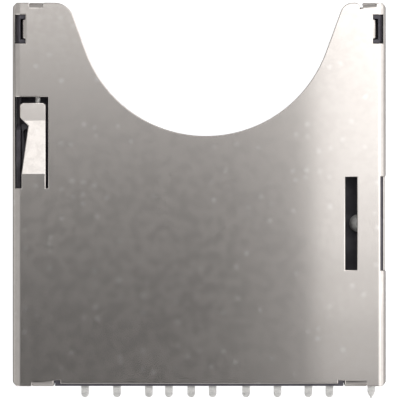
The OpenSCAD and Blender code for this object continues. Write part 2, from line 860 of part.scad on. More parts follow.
// Ledge at the top of the rear wall, which shows behind the plate's edge between the rear lips
rear_ledge_h = 1;
rear_ledge_in = 0.02; // its face lies this far inside the faces of the rear lips
module rear_ledge() {
  half = side - rear_lip[1] - 2 * run_gap;
  box([-half, rear_ledge_in - front, plate_z - rear_ledge_h], [half, fold_r - base_end, plate_z]);
}

module housing()
  color(black) {
    rear_ledge();
    difference() {
      box([-base_side, -base_end, 0], [base_side, base_end, plate_z]);
      // Slot for the card, open at the front
      box([slot_left, slot_rear, floor_t], [slot_right, front + past, plate_z + past]);
      slider_room();
      guard_room();
      linear_extrude(plate_z + past)
        notch(ledge);
      contact_room();
      switch_room();
      pin_room();
      fold_room();
      // Lead-in on both sides and on the floor
      for (x = [slot_left, slot_right])
        translate([x, base_end, floor_t])
          rotate(45)
            translate([-lead_in / sqrt(2), -lead_in / sqrt(2), 0])
              cube([lead_in * sqrt(2), lead_in * sqrt(2), plate_z]);
      translate([slot_left, base_end, floor_t])
        rotate([45, 0, 0])
          translate([0, -floor_t / 2, -floor_t / 2])
            cube([slot_w, floor_t, floor_t]);
    }
    catches();
    translate([spring_x, slot_rear, spring_z])
      rotate([-90, 0, 0])
        cylinder(r = post_r, h = base_post_l);
    translate([peg_in - side, front - peg_back, -peg_l])
      cylinder(d = peg_left_d, h = peg_l + floor_t / 2);
    translate([side - peg_in, front - peg_back, -peg_l])
      cylinder(d = peg_right_d, h = peg_l + floor_t / 2);
  }

// Eject gear

// One straight run of the track between two points
module track_run(a, b) {
  along = toward(a, b);
  for (p = [a, b])
    translate([p[0], p[1], track_z])
      cylinder(d = track_w, h = track_h + past);
  translate([a[0], a[1], track_z])
    rotate(atan2(along[1], along[0]))
      translate([0, -track_w / 2, 0])
        cube([norm(b - a), track_w, track_h + past]);
}

module heart_track() {
  entry = pin_tip;
  inner = heart_end + [0, travel];
  rest_point = pin_tip + [0, lock];
  outer = [2 * pin_tip[0] - inner[0], inner[1]];
  track_run(entry, inner);
  track_run(inner, rest_point);
  track_run(rest_point, outer);
  track_run(outer, entry);
}

module eject_slider()
  color(black) {
    arm_z = [floor_t + run_gap, plate_z - 2 * run_gap];
    arm_tip = contact_x(0) - root_w / 2 - arm_gap;
    difference() {
      box([slider_left, cam_rear, slider_z], [slider_right, slider_front, cam_top]);
      heart_track();
      // Bevelled front edge, where the pin first rides up
      translate([slider_left - past, slider_front, cam_top])
        rotate([45, 0, 0])
          translate([0, -cam_bevel / sqrt(2), -cam_bevel / sqrt(2)])
            cube([slider_right - slider_left + 2 * past, cam_bevel * sqrt(2), cam_bevel * sqrt(2)]);
    }
    box([rib_left, slider_rear, slider_z], [slider_right, cam_rear, arm_z[1]]);
    // Arm with the slope that meets the card's cut corner
    translate([0, 0, arm_z[0]])
      linear_extrude(arm_z[1] - arm_z[0])
        polygon([
          [rib_left, slider_rear],
          [arm_tip, slider_rear],
          [arm_tip, slider_rear + arm_t],
          [slider_right, slider_rear + arm_t + arm_tip - slider_right],
          [rib_left, slider_rear + arm_t + arm_tip - slider_right]
        ]);
    box([keel_x - keel_w / 2, slider_rear, slider_z - keel_h],
      [keel_x + keel_w / 2, slider_front - keel_in, slider_z + run_gap]);
    translate([spring_x, cam_rear, spring_z])
      rotate([90, 0, 0])
        cylinder(r = post_r, h = slider_post_l);
  }

// End of the wire bent down from along X, reaching to a depth below it
module pin_hook(depth) {
  translate([pin_bend, 0, -pin_bend])
    rotate([90, 0, 0])
      rotate(90)
        rotate_extrude(angle = 90)
          translate([pin_bend, 0])
            circle(d = pin_d);
  translate([0, 0, -depth])
    cylinder(d = pin_d, h = depth - pin_bend);
}

module cam_pin()
  color(wire)
    translate([pin_pivot[0], pin_pivot[1], pin_z])
      rotate(-90 - pin_lean) {
        pin_hook(pin_root_l - pin_gap);
        translate([pin_bend, 0, 0])
          rotate([0, 90, 0])
            cylinder(d = pin_d, h = pin_reach - 2 * pin_bend);
        translate([pin_reach, 0, 0])
          mirror([1, 0, 0])
            pin_hook(pin_z - track_z - pin_gap);
      }

// Distance along the spring after a number of turns, with one closed turn at each end
spring_gap = 0.02;
spring_l = cam_rear - slot_rear - 2 * spring_gap - spring_wire;
function spring_rise(turn) =
  turn < 1 ? turn * spring_wire :
  turn > spring_turns - 1 ? spring_l - (spring_turns - turn) * spring_wire :
  spring_wire + (turn - 1) / (spring_turns - 2) * (spring_l - 2 * spring_wire);

// Ring of the wire's section at one place along the coil
spring_sides = 8;
spring_steps = 10;
function spring_ring(turn) =
  let (a = 360 * turn, r = (spring_d - spring_wire) / 2)
    [for (k = [0 : spring_sides - 1])
      let (b = 360 * k / spring_sides, w = spring_wire / 2)
        [(r + w * cos(b)) * cos(a), spring_rise(turn) + w * sin(b), (r + w * cos(b)) * sin(a)]];

module eject_spring()
  color(wire) {
    rings = spring_turns * spring_steps;
    n = spring_sides;
    translate([spring_x, slot_rear + spring_gap + spring_wire / 2, spring_z])
      polyhedron(
        points = [for (i = [0 : rings]) each spring_ring(i / spring_steps)],
        faces = concat(
          [[for (k = [0 : n - 1]) k]],
          [for (i = [0 : rings - 1], k = [0 : n - 1])
            [i * n + k, (i + 1) * n + k, (i + 1) * n + (k + 1) % n, i * n + (k + 1) % n]],
          [[for (k = [n - 1 : -1 : 0]) rings * n + k]]
        )
      );
  }

housing();
cover_shell();
for (i = [0 : len(CONTACTS) - 1])
  contact(i);
card_detect_spring();
write_protect_spring();
eject_slider();
cam_pin();
eject_spring();
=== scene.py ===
"""Finish of a push-push memory card socket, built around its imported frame.

Laid out as an add-on and run as a script. Lengths are in metres, in the frame's own axes: the card goes in
along -Y, and the board is the plane z = 0.
"""
import json
import math

import bmesh
import bpy
import numpy as np
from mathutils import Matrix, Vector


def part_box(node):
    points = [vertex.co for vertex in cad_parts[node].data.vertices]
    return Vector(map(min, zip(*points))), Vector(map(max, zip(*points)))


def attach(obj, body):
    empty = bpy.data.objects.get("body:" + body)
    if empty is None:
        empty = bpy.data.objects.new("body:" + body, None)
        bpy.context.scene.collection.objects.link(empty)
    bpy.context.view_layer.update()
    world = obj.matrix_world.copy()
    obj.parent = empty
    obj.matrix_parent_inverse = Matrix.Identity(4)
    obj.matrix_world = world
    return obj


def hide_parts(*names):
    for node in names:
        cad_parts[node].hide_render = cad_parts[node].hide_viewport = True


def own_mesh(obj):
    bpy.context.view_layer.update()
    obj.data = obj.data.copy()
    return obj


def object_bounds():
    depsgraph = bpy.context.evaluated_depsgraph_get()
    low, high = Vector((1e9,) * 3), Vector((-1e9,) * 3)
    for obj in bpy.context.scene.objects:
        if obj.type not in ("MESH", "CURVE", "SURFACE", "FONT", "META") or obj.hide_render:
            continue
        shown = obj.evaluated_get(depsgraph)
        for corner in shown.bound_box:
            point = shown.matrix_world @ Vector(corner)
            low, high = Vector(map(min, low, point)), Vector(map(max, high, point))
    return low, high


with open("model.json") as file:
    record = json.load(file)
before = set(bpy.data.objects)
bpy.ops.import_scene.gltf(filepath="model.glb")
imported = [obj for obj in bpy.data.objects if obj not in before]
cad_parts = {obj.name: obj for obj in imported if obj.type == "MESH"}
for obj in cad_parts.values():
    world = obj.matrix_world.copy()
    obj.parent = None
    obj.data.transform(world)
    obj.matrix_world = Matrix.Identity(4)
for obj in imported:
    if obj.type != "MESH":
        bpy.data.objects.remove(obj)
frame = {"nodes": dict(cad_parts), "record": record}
CAD_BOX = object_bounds()

bl_info = {
    "name": "Memory card socket",
    "version": (1, 0, 0),
    "blender": (4, 5, 0),
    "location": "3D View > Sidebar > Card socket",
    "description": "Builds the finished surfaces of a push-push memory card socket around its frame",
    "category": "Add Mesh",
}

MM = 0.001
CONTACTS = [f"contact_{i}" for i in range(1, 10)]
X, Y, Z = 0, 1, 2
WHITE = (1.0, 1.0, 1.0)

# Merging distance of a node's triangles, angle within which its faces are flat, angle of its real edges,
# and angle from which an edge is shaded as a sharp one
MERGE = 0.0002 * MM
FLAT = math.radians(0.5)
SHARP = math.radians(35)
CORNER = math.radians(60)


# Settings

def length(name, millimetres, description):
    """Property that holds a length, with its default given in millimetres."""
    return bpy.props.FloatProperty(
        name=name, description=description, default=millimetres * MM, precision=6, unit="LENGTH"
    )


def share(name, value, description):
    """Property that holds a number from 0 to 1."""
    return bpy.props.FloatProperty(
        name=name, description=description, default=value, min=0.0, max=1.0, subtype="FACTOR"
    )


def level(name, value, description):
    """Property that holds a plain positive number, such as a lamp's brightness."""
    return bpy.props.FloatProperty(name=name, description=description, default=value, min=0.0)


def colour(name, value, description):
    """Property that holds a colour."""
    return bpy.props.FloatVectorProperty(
        name=name, description=description, default=value, size=3, min=0.0, max=1.0, subtype="COLOR"
    )


class SheetSettings(bpy.types.PropertyGroup):
    """Folded steel sheet."""

    edge: length("Edge", 0.08, "Rounding of the sheared edges")
    steel: colour("Steel", (0.705, 0.660, 0.626), "Colour of the sheet")
    pale: colour("Pale patches", (0.740, 0.695, 0.660), "Colour of the paler patches")
    speck: colour("Specks", (0.95, 0.93, 0.91), "Colour of the bright specks")
    smooth: share("Smooth", 0.165, "Roughness of the smoother patches")
    rough: share("Rough", 0.185, "Roughness of the duller patches")
    rim: share("Rim", 0.2, "Brightness of the sheet where it is seen edge on")
    shoulder_in: length("Shoulder", 0.68, "From the side walls to where the sheet starts to fall away")
    shoulder_w: length("Shoulder width", 0.2, "Width over which the sheet falls away more and more")
    shoulder_tilt: bpy.props.FloatProperty(
        name="Shoulder tilt", description="Slope of the sheet past its shoulder",
        default=math.radians(12), subtype="ANGLE"
    )
    grain: length("Grain", 0.0003, "Depth of the rolling grain")
    wave: length("Wave", 0.0012, "Depth of the slow waves in the sheet")


class MouldingSettings(bpy.types.PropertyGroup):
    """Black base and slider."""

    edge: length("Edge", 0.03, "Rounding of the moulded edges")
    black: colour("Base", (0.075, 0.070, 0.085), "Colour of the base")
    flow: colour("Flow marks", (0.100, 0.094, 0.112), "Colour of the flow marks in the base")
    slider: colour("Slider", (0.080, 0.075, 0.088), "Colour of the slider")
    slider_flow: colour("Slider flow marks", (0.105, 0.100, 0.114), "Colour of the slider's flow marks")
    filler: colour("Filler", (0.16, 0.16, 0.17), "Colour of the flecks of filler")
    rough: share("Base roughness", 0.62, "Roughness of the base")
    flow_rough: share("Flow roughness", 0.5, "Roughness of the flow marks in the base")
    slider_rough: share("Slider roughness", 0.46, "Roughness of the slider")
    slider_flow_rough: share("Slider flow roughness", 0.36, "Roughness of the slider's flow marks")
    texture: length("Texture", 0.004, "Depth of the mould's eroded texture")


class StripSettings(bpy.types.PropertyGroup):
    """Contacts and switch strips."""

    thickness: length("Thickness", 0.15, "Thickness of the strip")
    edge: length("Edge", 0.035, "Rounding of the strip's edges")
    bend: length("Bend", 0.2, "Radius of the bends")
    tail_w: length("Tail width", 0.6, "Width of the solder tails")
    root_w: length("Root width", 0.7, "Width of a contact at its root")
    tip_w: length("Tip width", 0.5, "Width of a contact at its tip")
    stop_wall: length("Stop wall", 1.4, "Thickness of the base's rear wall")
    floor: length("Floor", 0.5, "Thickness of the base's floor")
    heel_out: length("Heel", 0.3, "From the base to a tail's upper bend")
    heel_l: length("Step", 0.25, "Length of the step down to the board")
    root_l: length("Root", 1.05, "Length of the root in front of the rear wall")
    set_over: length("Set-over", 0.2, "From the rear wall's faces to where a tail is set over")
    crown_h: length("Crown", 0.45, "Height of a contact's crown above the floor")
    crown_tip: length("Beyond the crown", 0.9, "From a contact's crown to its tip")
    tip_h: length("Tip height", 0.1, "Height of a contact's tip above the floor")
    gilt_l: length("Gilding", 2.2, "Length of the gilt zone at the free end")
    grain: length("Grain", 0.001, "Depth of the drawn grain")
    tin: colour("Tin", (0.88, 0.87, 0.85), "Colour of the tinned strip")
    dull_tin: colour("Dull tin", (0.76, 0.75, 0.74), "Colour of the duller patches")
    gold: colour("Gold", (0.83, 0.62, 0.27), "Colour of the gilt zone")
    smooth: share("Smooth", 0.62, "Roughness of the brighter patches")
    rough: share("Rough", 0.76, "Roughness of the duller patches")


class SwitchSettings(bpy.types.PropertyGroup):
    """Card switch and write-protect switch."""

    beam_w: length("Beam width", 0.5, "Width of the card switch's beam")
    tail_over: length("Tail set-over", 0.32, "From the card switch's beam to its tail")
    ear_l: length("Ear", 0.35, "Length of the card switch's ear")
    ear_step: length("Ear step", 0.02, "Length over which the card switch widens to its ear")
    crown_lift: length("Crown lift", 0.02, "How much the bend takes off the card switch's crown")
    detect_tip: length("Beyond the crown", 0.7, "From the card switch's crown to its tip")
    detect_drop: length("Tip drop", 0.17, "From the card switch's crown down to its tip")
    height: length("Height", 1.4, "Height of the write-protect strip")
    bump_r: length("Bump radius", 0.68, "Radius of the write-protect strip's bump")
    bump_out: length("Bump", 0.8, "From the strip's line to the top of its bump")
    bump_blend: length("Bump foot", 0.1, "Blend between the bump and the strip")
    bump_y: length("Bump place", 11.25, "From the rear wall to the bump")
    crest_l: length("Crest", 2.0, "Length of the straight stretch that carries the bump")
    ramp_l: length("Ramp", 5.0, "Length of the slope behind that stretch")
    arm_l: length("Arm", 3.4, "Length of the free arm in front of it")
    rail: length("Rail", 0.975, "From the line of the bump's stretch to the line of the tail")
    arm_out: length("Arm end", 1.53, "From the line of the bump's stretch to the free end")
    gilt_l: length("Gilding", 0.8, "Length of the gilt zone at the write-protect strip's free end")
    end_in: length("Rear end", 0.4, "From the base's rear face to the strip's rear end")
    root_l: length("Tail root", 0.9, "How far the tail reaches in front of the rear wall")
    point_w: length("Point", 0.16, "Width of the tail's point")
    point_l: length("Point length", 0.55, "Length of the pointed end of the write-protect tail")


class GearSettings(bpy.types.PropertyGroup):
    """Cam pin and eject spring."""

    pin_wire: length("Pin wire", 0.4, "Diameter of the cam pin's wire")
    pin_bend: length("Pin bend", 0.35, "Radius of the cam pin's bends")
    pin_tip: length("Pin tip", 0.7, "Depth of the cam pin's tip below its run")
    spring_wire: length("Spring wire", 0.18, "Diameter of the spring's wire")
    turns: bpy.props.IntProperty(name="Turns", description="Turns of the spring", default=16, min=4)
    end_round: length("Wire end", 0.05, "Rounding of the wires' ends")
    grain: length("Grain", 0.0008, "Depth of the drawn lines")
    wire: colour("Wire", (0.72, 0.71, 0.69), "Colour of the spring wire")
    dull_wire: colour("Dull wire", (0.6, 0.59, 0.57), "Colour of the duller patches")
    smooth: share("Smooth", 0.62, "Roughness of the brighter patches")
    rough: share("Rough", 0.74, "Roughness of the duller patches")


class StageSettings(bpy.types.PropertyGroup):
    """Floor, lamps and camera."""

    camera_h: length("Camera height", 280.0, "Height of the camera above the top plate")
    view_w: length("View", 31.056, "Width of the view in the plane of the top plate")
    aim_x: length("Aim X", 0.058, "Place of the view's middle in X")
    aim_y: length("Aim Y", -0.427, "Place of the view's middle in Y")
    floor_size: length("Floor", 900.0, "Width of the floor")
    floor: colour("Floor", (0.62, 0.62, 0.62), "Colour of the floor")
    floor_rough: share("Floor roughness", 0.9, "Roughness of the floor")
    floor_glow: share("Floor glow", 0.85, "White that the floor adds in the picture")
    floor_mirror: share("Floor in metal", 0.15, "White that the floor adds in reflections")
    zenith: level("Zenith", 0.07, "Brightness of the room overhead and straight behind")
    left: level("Left", 0.5, "Brightness of the wall on the left")
    right: level("Right", 1.2, "Brightness of the wall on the right")
    front: level("Front", 0.42, "Brightness of the wall at the front")
    lamps: level("Lamps", 1.57, "Brightness of the lamps just in front of overhead")
    corners: level("Corners", 1.2, "Brightness of the room's two corners at the rear")
    rear: level("Rear", 0.45, "Brightness of the low wall straight behind")
    low_panel: level("Low panels", 0.63, "Brightness of all the low panels on the right together")
    low_left: length("Low panel edge", 9.7, "Place of the low panels' left edge")
    low_rear: length("Low panel rear edge", -20.9, "Place of the longest low panel's rear edge")
    low_step: length("Low panel step", 5.3, "Each low panel ends this far in front of the one before")
    low_height: length("Low panel height", 28.0, "Height of the lowest low panel above the board")
    low_rise: length("Low panel rise", 0.6, "Each low panel lies this far above the one before")
    front_panel: level("Front panel", 0.195, "Brightness of the panel at the right front")
    front_left: length("Front panel edge", 13.0, "Place of the front panel's left edge")
    front_rear: length("Front panel rear edge", 0.5, "Place of the front panel's rear edge")
    front_height: length("Front panel height", 44.0, "Height of the front panel above the board")
    high_panel: level("High panel", 0.17, "Brightness of the high panel on the right")
    high_left: length("High panel edge", 5.5, "Place of the high panel's left edge")
    high_height: length("High panel height", 114.0, "Height of the high panel above the board")
    reach: length("Panel reach", 120.0, "How far the high panel reaches to the right, front and rear")
    near_front: length("Near panel front", 30.0, "How far the low and front panels reach to the front")
    near_right: length("Near panel right", 36.0, "How far the low and front panels reach to the right")


class SocketSettings(bpy.types.PropertyGroup):
    """All the settings of the socket."""

    sheet: bpy.props.PointerProperty(type=SheetSettings, name="Sheet")
    moulding: bpy.props.PointerProperty(type=MouldingSettings, name="Mouldings")
    strip: bpy.props.PointerProperty(type=StripSettings, name="Strips")
    switch: bpy.props.PointerProperty(type=SwitchSettings, name="Switches")
    gear: bpy.props.PointerProperty(type=GearSettings, name="Eject gear")
    stage: bpy.props.PointerProperty(type=StageSettings, name="Stage")


def settings():
    """The scene's settings."""
    return bpy.context.scene.card_socket


# Surfaces

def node_box(name):
    """Lowest and highest corner of a node at rest, as arrays."""
    low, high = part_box(name)
    return np.array(low), np.array(high)


def unit(vectors):
    """Vectors divided by their own lengths."""
    return vectors / np.linalg.norm(vectors, axis=-1, keepdims=True)


def distance_along(path):
    """Length of the path from its start to each of its points."""
    steps = np.linalg.norm(np.diff(path, axis=0), axis=1)
    return np.concatenate([[0.0], np.cumsum(steps)])


def bent_path(points, radius, steps=6):
    """Path through corner points with every inner corner bent round an arc.

    At a corner with the unit directions u before and v after it, the arc's centre lies the radius away from
    both runs, on the inner side n, and the arc is centre + radius * (sin(t) u - cos(t) n) for t from 0 to
    the angle of the turn.
    """
    points = np.array(points, float)
    before = unit(points[1:-1] - points[:-2])
    after = unit(points[2:] - points[1:-1])
    cosine = (before * after).sum(1, keepdims=True)
    turn = np.arccos(np.clip(cosine, -1.0, 1.0))
    inner = unit(after - cosine * before)
    centre = points[1:-1] - radius * np.tan(turn / 2) * before + radius * inner
    angle = turn[:, :, None] * np.linspace(0.0, 1.0, steps + 1)[None, :, None]
    arcs = centre[:, None] + radius * (np.sin(angle) * before[:, None] - np.cos(angle) * inner[:, None])
    return np.concatenate([points[:1], arcs.reshape(-1, points.shape[1]), points[-1:]])


def refined(path, spacing, extra=()):
    """Path with more points: its own, one at every spacing, and those at the extra distances."""
    along = distance_along(path)
    wanted = np.concatenate([along, np.arange(0.0, along[-1], spacing), extra])
    wanted = np.unique(wanted.round(9))
    return np.stack([np.interp(wanted, along, column) for column in path.T], axis=1)


def round_end(distance, radius):
    """Half the width of a round end of the given radius, at a distance from its tip: a quarter circle."""
    rest = np.clip(radius - distance, 0.0, radius)
    return np.sqrt(np.maximum(radius ** 2 - rest ** 2, 0.0))


def corner_pattern(steps, face_steps):
    """Unit pattern of a rectangle with round corners, as columns: side across, side over, cosine, sine.

    Four quarter arcs follow each other, and the two broad faces between them have points of their own.
    """
    quarter = np.linspace(0.0, math.pi / 2, steps + 1)
    inner = np.linspace(1.0, -1.0, face_steps + 2)[1:-1]
    flat = np.zeros_like(inner)
    parts = []
    for turn, across, over in ((0, 1, 1), (1, -1, 1), (2, -1, -1), (3, 1, -1)):
        angle = quarter + turn * math.pi / 2
        ones = np.ones_like(angle)
        parts.append(np.stack([across * ones, over * ones, np.cos(angle), np.sin(angle)], axis=1))
        if turn in (0, 2):
            parts.append(np.stack([over * inner, over + flat, flat, over + flat], axis=1))
    return np.concatenate(parts)


def strip_grid(line, low, high, thickness, edge, axes, corner_steps=3, face_steps=0):
    """Grid of a strip of even thickness whose line runs in a plane.

    line holds the path in the first two axes, and low and high are the strip's two edges along the third.
    A point is line + normal * over + third axis * (middle + across), where across and over go round a
    rectangle with round corners.
    """
    along = distance_along(line)
    direction = unit(np.gradient(line, along, axis=0))
    normal = np.stack([-direction[:, 1], direction[:, 0]], axis=1)
    side, top, cosine, sine = corner_pattern(corner_steps, face_steps).T
    half = ((high - low) / 2)[:, None]
    radius = np.minimum(edge, half)
    across = side * (half - radius) + radius * cosine
    over = (top * (thickness / 2 - edge) + edge * sine)[None, :]
    grid = np.empty((len(line), len(side), 3))
    grid[..., axes[0]] = line[:, :1] + normal[:, :1] * over
    grid[..., axes[1]] = line[:, 1:] + normal[:, 1:] * over
    grid[..., axes[2]] = ((low + high) / 2)[:, None] + across
    return grid


def tube_grid(line, reference, radius, sides=16):
    """Grid of a round wire along a path.

    b is the reference made square to the path's direction d, n is d x b, and a point is
    line + radius * (cos(t) b + sin(t) n). The radius may change along the path.
    """
    direction = unit(np.gradient(line, distance_along(line), axis=0))
    first = unit(reference - (reference * direction).sum(1, keepdims=True) * direction)
    second = np.cross(direction, first)
    angle = np.linspace(0.0, 2 * math.pi, sides, endpoint=False)[None, :, None]
    ring = np.cos(angle) * first[:, None] + np.sin(angle) * second[:, None]
    return line[:, None] + np.reshape(radius, (-1, 1, 1)) * ring


def end_samples(line, end_round, count=6):
    """Distances along a wire that show its two rounded ends well."""
    ends = end_round * np.linspace(0.0, 1.0, count)
    return np.concatenate([ends, distance_along(line)[-1] - ends])


def wire_radius(line, radius, end_round, blunt=0.55):
    """Radius along a wire with rounded ends: a quarter ellipse from the blunt share of the radius."""
    along = distance_along(line)
    to_end = np.minimum(along, along[-1] - along)
    rest = np.clip(1.0 - to_end / end_round, 0.0, 1.0)
    return radius * (blunt + (1.0 - blunt) * np.sqrt(1.0 - rest ** 2))


def skin(grid):
    """Points and faces of a closed skin over a grid whose rows are closed sections.

    Each cell is a quad, and each end is a fan of triangles round the mean of its section.
    """
    rows, columns = grid.shape[:2]
    points = np.concatenate([grid.reshape(-1, 3), grid[:1].mean(1), grid[-1:].mean(1)])
    ring = np.arange(columns)
    following = (ring + 1) % columns
    row = np.arange(rows - 1)[:, None] * columns
    quads = np.stack([row + ring, row + following, row + columns + following, row + columns + ring], axis=2)
    last = (rows - 1) * columns
    first_pole = np.full(columns, rows * columns)
    start = np.stack([first_pole, following, ring], axis=1)
    end = np.stack([first_pole + 1, last + ring, last + following], axis=1)
    return points, [*quads.reshape(-1, 4).tolist(), *start.tolist(), *end.tolist()]


# Objects

def show(name, mesh, node, material):
    """Object of a finished mesh that stands for a CAD node and rides on that node's body."""
    piece = bpy.data.objects.new(name, mesh)
    bpy.context.scene.collection.objects.link(piece)
    mesh.materials.append(material)
    mesh.polygons.foreach_set("use_smooth", np.ones(len(mesh.polygons), bool))
    body = next(b for b, nodes in frame["record"]["behaviour"]["bodies"].items() if node in nodes)
    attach(piece, body)
    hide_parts(node)
    return piece


def grids_mesh(name, grids, gilt=None):
    """Mesh of one or more closed skins, with its faces turned outwards and its gilding as an attribute."""
    points = np.zeros((0, 3))
    faces = []
    for grid in grids:
        new_points, new_faces = skin(grid)
        faces += [[corner + len(points) for corner in face] for face in new_faces]
        points = np.concatenate([points, new_points])
    mesh = bpy.data.meshes.new(name)
    mesh.from_pydata(points.tolist(), [], faces)
    if gilt is not None:
        layer = mesh.attributes.new("gilt", "FLOAT", "POINT")
        layer.data.foreach_set("value", gilt(points).astype(np.float32))
    shape = bmesh.new()
    shape.from_mesh(mesh)
    bmesh.ops.recalc_face_normals(shape, faces=shape.faces)
    shape.to_mesh(mesh)
    shape.free()
    return mesh


def even_normals(piece):
    """Lets the broad faces set the normals, so that they stay flat up to their round edges."""
    finish = piece.modifiers.new("even normals", "WEIGHTED_NORMAL")
    finish.keep_sharp = True


def rounded_copy(node, name, edge, segments):
    """Copy of a CAD node's mesh, with its loose triangles merged and its outer edges rounded.

    Flat faces are made whole first. An edge is rounded where its two faces meet outwards at more than the
    angle between the facets of a curve, and where each, as area over the edge's length, is wider than the
    rounding. An inner corner stays sharp, and so does an outer one that isn't rounded.
    """
    shape = bmesh.new()
    shape.from_mesh(frame["nodes"][node].data)
    bmesh.ops.remove_doubles(shape, verts=shape.verts, dist=MERGE)
    bmesh.ops.dissolve_limit(shape, angle_limit=FLAT, verts=shape.verts, edges=shape.edges)
    outer = [
        line for line in shape.edges
        if line.calc_face_angle_signed(0.0) > SHARP
        and all(face.calc_area() > edge * line.calc_length() for face in line.link_faces)
    ]
    bmesh.ops.bevel(
        shape, geom=outer, affect="EDGES", offset_type="OFFSET", offset=edge, segments=segments,
        profile=0.5, clamp_overlap=False, loop_slide=True
    )
    for line in shape.edges:
        line.smooth = -SHARP < line.calc_face_angle_signed(0.0) < CORNER
    mesh = bpy.data.meshes.new(name)
    shape.to_mesh(mesh)
    shape.free()
    return mesh


# Shader groups

def kept(store, name, build):
    """A shader group or a material, built the first time it is asked for."""
    return store.get(name) or build()


def feed(tree, socket, value):
    """Links an input to another node's output, or gives it a plain value."""
    if isinstance(value, bpy.types.NodeSocket):
        tree.links.new(value, socket)
    else:
        socket.default_value = value


def add(tree, kind, *inputs, **values):
    """Adds a node. Inputs are fed in order, and values go to properties or to inputs of that name."""
    node = tree.nodes.new(kind)
    for name, value in values.items():
        if hasattr(node, name):
            setattr(node, name, value)
        else:
            feed(tree, node.inputs[name.replace("_", " ")], value)
    for socket, value in zip(node.inputs, inputs):
        feed(tree, socket, value)
    return node


def result(tree, kind, *inputs, **values):
    """Adds a node and gives its first output."""
    return add(tree, kind, *inputs, **values).outputs[0]


def computed(tree, operation, *inputs):
    """Result of a sum on sockets and plain numbers."""
    return result(tree, "ShaderNodeMath", *inputs, operation=operation)


def ramp(tree, value, start, end, low, high):
    """Smooth step from low to high as a value goes from start to end."""
    return result(tree, "ShaderNodeMapRange", value, start, end, low, high, interpolation_type="SMOOTHSTEP")


def ranged(tree, mask, low, high):
    """Value that goes evenly from low to high as a mask goes from 0 to 1."""
    return result(tree, "ShaderNodeMapRange", mask, To_Min=low, To_Max=high)


def new_group(name, inputs, output):
    """Empty shader group with float or vector inputs and one float output, which are given with it."""
    tree = bpy.data.node_groups.new(name, "ShaderNodeTree")
    for label, default in inputs.items():
        kind = "NodeSocketFloat" if isinstance(default, float) else "NodeSocketVector"
        socket = tree.interface.new_socket(name=label, in_out="INPUT", socket_type=kind)
        socket.default_value = default
    tree.interface.new_socket(name=output, in_out="OUTPUT", socket_type="NodeSocketFloat")
    return tree, add(tree, "NodeGroupInput").outputs, add(tree, "NodeGroupOutput").inputs[0]


def millimetres(tree):
    """The piece's own coordinates in millimetres."""
    place = add(tree, "ShaderNodeTexCoord").outputs["Object"]
    return result(tree, "ShaderNodeVectorMath", place, operation="SCALE", Scale=1 / MM)


def patch_group():
    """Soft patches: cloudy noise, drawn out from 0 to 1 between a low and a high level."""
    tree, given, made = new_group("soft patches", {"Scale": 1.0, "Low": 0.4, "High": 0.6}, "Mask")
    noise = result(
        tree, "ShaderNodeTexNoise", Vector=millimetres(tree), Scale=given["Scale"],
        Detail=4.0, Roughness=0.6
    )
    tree.links.new(ramp(tree, noise, given["Low"], given["High"], 0.0, 1.0), made)
    return tree


def grain_group():
    """Fine grain: noise on coordinates that are stretched along one axis, as a height from 0 to 1."""
    tree, given, made = new_group("fine grain", {"Scale": 10.0, "Stretch": (1.0, 1.0, 1.0)}, "Height")
    place = result(tree, "ShaderNodeVectorMath", millimetres(tree), given["Stretch"], operation="MULTIPLY")
    noise = result(
        tree, "ShaderNodeTexNoise", Vector=place, Scale=given["Scale"],
        Detail=3.0, Roughness=0.55
    )
    tree.links.new(noise, made)
    return tree


def speck_group():
    """Scattered specks: a round spot at the middle of some of the cells of a Voronoi pattern."""
    tree, given, made = new_group("scattered specks", {"Scale": 1.0, "Size": 0.1, "Share": 0.3}, "Mask")
    cells = add(tree, "ShaderNodeTexVoronoi", Vector=millimetres(tree), Scale=given["Scale"]).outputs
    spot = ramp(tree, cells["Distance"], 0.0, given["Size"], 1.0, 0.0)
    chance = result(tree, "ShaderNodeSeparateColor", cells["Color"])
    picked = computed(tree, "LESS_THAN", chance, given["Share"])
    tree.links.new(computed(tree, "MULTIPLY", spot, picked), made)
    return tree


def placed(tree, name, build, values):
    """Output of a shared group that is placed in a material with its own values."""
    group = kept(bpy.data.node_groups, name, build)
    return result(tree, "ShaderNodeGroup", node_tree=group, **values)


def patches(tree, **values):
    """Mask of soft patches."""
    return placed(tree, "soft patches", patch_group, values)


def grain(tree, **values):
    """Height of a fine grain."""
    return placed(tree, "fine grain", grain_group, values)


def specks(tree, **values):
    """Mask of scattered specks."""
    return placed(tree, "scattered specks", speck_group, values)


# Materials

def opaque(colour_value):
    """Colour with full alpha."""
    return (*colour_value, 1.0)


def new_material(name):
    """Empty material and its node tree."""
    material = bpy.data.materials.new(name)
    material.use_nodes = True
    material.node_tree.nodes.clear()
    return material, material.node_tree


def finished(material, **values):
    """The material, with a Principled shader that is fed with the values as its surface."""
    tree = material.node_tree
    shader = result(tree, "ShaderNodeBsdfPrincipled", **values)
    add(tree, "ShaderNodeOutputMaterial", Surface=shader)
    return material


def mixed(tree, mask, first, second, most=1.0):
    """Colour that goes from the first to the second with a mask, at most by the given share.

    Each colour is a value or a socket.
    """
    mix = add(tree, "ShaderNodeMix", ranged(tree, mask, 0.0, most), data_type="RGBA")
    for socket, value in ((mix.inputs[6], first), (mix.inputs[7], second)):
        feed(tree, socket, value if isinstance(value, bpy.types.NodeSocket) else opaque(value))
    return mix.outputs[2]


def bumped(tree, height, depth, **below):
    """Normal of a surface with the given relief, on top of another relief's Normal if there is one."""
    return result(tree, "ShaderNodeBump", Strength=1.0, Distance=depth, Height=height, **below)


